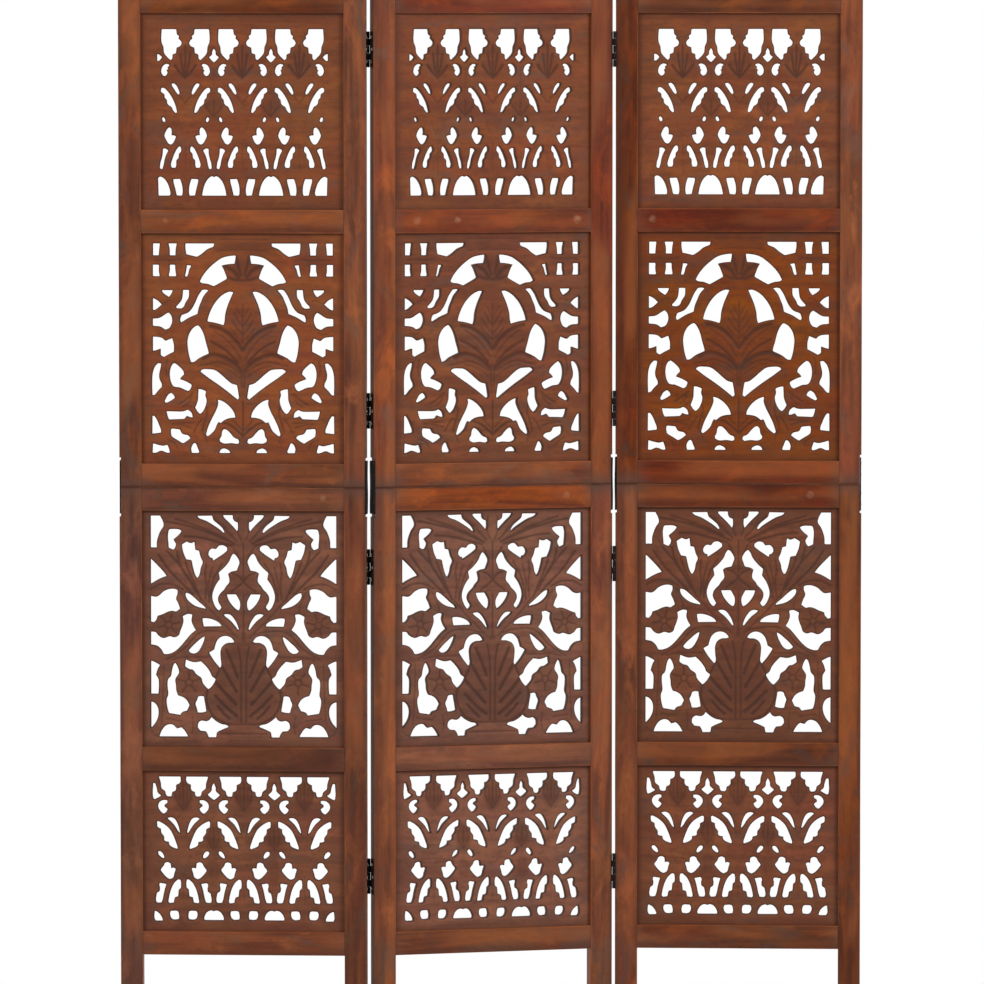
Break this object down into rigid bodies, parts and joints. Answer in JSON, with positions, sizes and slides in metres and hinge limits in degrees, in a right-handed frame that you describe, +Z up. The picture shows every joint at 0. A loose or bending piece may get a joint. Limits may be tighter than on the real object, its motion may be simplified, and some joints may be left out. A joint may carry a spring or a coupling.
{
  "type": "folding screen",
  "caption": "Free-standing folding screen of hinged wooden leaves with pierced and carved fretwork panels in mortised frames.",
  "frame": {"origin": "middle of the standing screen's outline in plan, at floor level", "axes": "+Z up; +Y from the carved front faces to the back; +X to the right for someone facing the front"},
  "size_m": [1.2048, 0.124, 1.65],
  "materials": {
    "frame_timber": "satin",
    "panel_timber": "satin",
    "dark_iron": "satin"
  },
  "bodies": {
    "left_leaf": {"left_lower_left_stile": "frame_timber", "left_lower_right_stile": "frame_timber", "left_lower_foot_rail": "frame_timber", "left_lower_middle_rail": "frame_timber", "left_lower_head_rail": "frame_timber", "left_upper_left_stile": "frame_timber", "left_upper_right_stile": "frame_timber", "left_upper_foot_rail": "frame_timber", "left_upper_middle_rail": "frame_timber", "left_upper_head_rail": "frame_timber", "left_joining_straps": "dark_iron", "left_low_trees_panel": "panel_timber", "left_vase_panel": "panel_timber", "left_bud_panel": "panel_timber", "left_tall_trees_panel": "panel_timber", "left_hinge_left_plates": "dark_iron", "left_hinge_pins": "dark_iron"},
    "centre_leaf": {"centre_lower_left_stile": "frame_timber", "centre_lower_right_stile": "frame_timber", "centre_lower_foot_rail": "frame_timber", "centre_lower_middle_rail": "frame_timber", "centre_lower_head_rail": "frame_timber", "centre_upper_left_stile": "frame_timber", "centre_upper_right_stile": "frame_timber", "centre_upper_foot_rail": "frame_timber", "centre_upper_middle_rail": "frame_timber", "centre_upper_head_rail": "frame_timber", "centre_joining_straps": "dark_iron", "centre_low_trees_panel": "panel_timber", "centre_vase_panel": "panel_timber", "centre_bud_panel": "panel_timber", "centre_tall_trees_panel": "panel_timber", "left_hinge_centre_plates": "dark_iron", "right_hinge_centre_plates": "dark_iron"},
    "right_leaf": {"right_lower_left_stile": "frame_timber", "right_lower_right_stile": "frame_timber", "right_lower_foot_rail": "frame_timber", "right_lower_middle_rail": "frame_timber", "right_lower_head_rail": "frame_timber", "right_upper_left_stile": "frame_timber", "right_upper_right_stile": "frame_timber", "right_upper_foot_rail": "frame_timber", "right_upper_middle_rail": "frame_timber", "right_upper_head_rail": "frame_timber", "right_joining_straps": "dark_iron", "right_low_trees_panel": "panel_timber", "right_vase_panel": "panel_timber", "right_bud_panel": "panel_timber", "right_tall_trees_panel": "panel_timber", "right_hinge_right_plates": "dark_iron", "right_hinge_pins": "dark_iron"}
  },
  "joints": [
    {"name": "left_hinge", "type": "hinge", "parent": "centre_leaf", "child": "left_leaf", "pos_m": [-0.19961, -0.03366, 0.8], "axis": [0, 0, 1], "range_deg": [-161.8, 24.2]},
    {"name": "right_hinge", "type": "hinge", "parent": "centre_leaf", "child": "right_leaf", "pos_m": [0.19962, 0.03363, 0.8], "axis": [0, 0, 1], "range_deg": [-162.2, 23.8]}
  ]
}
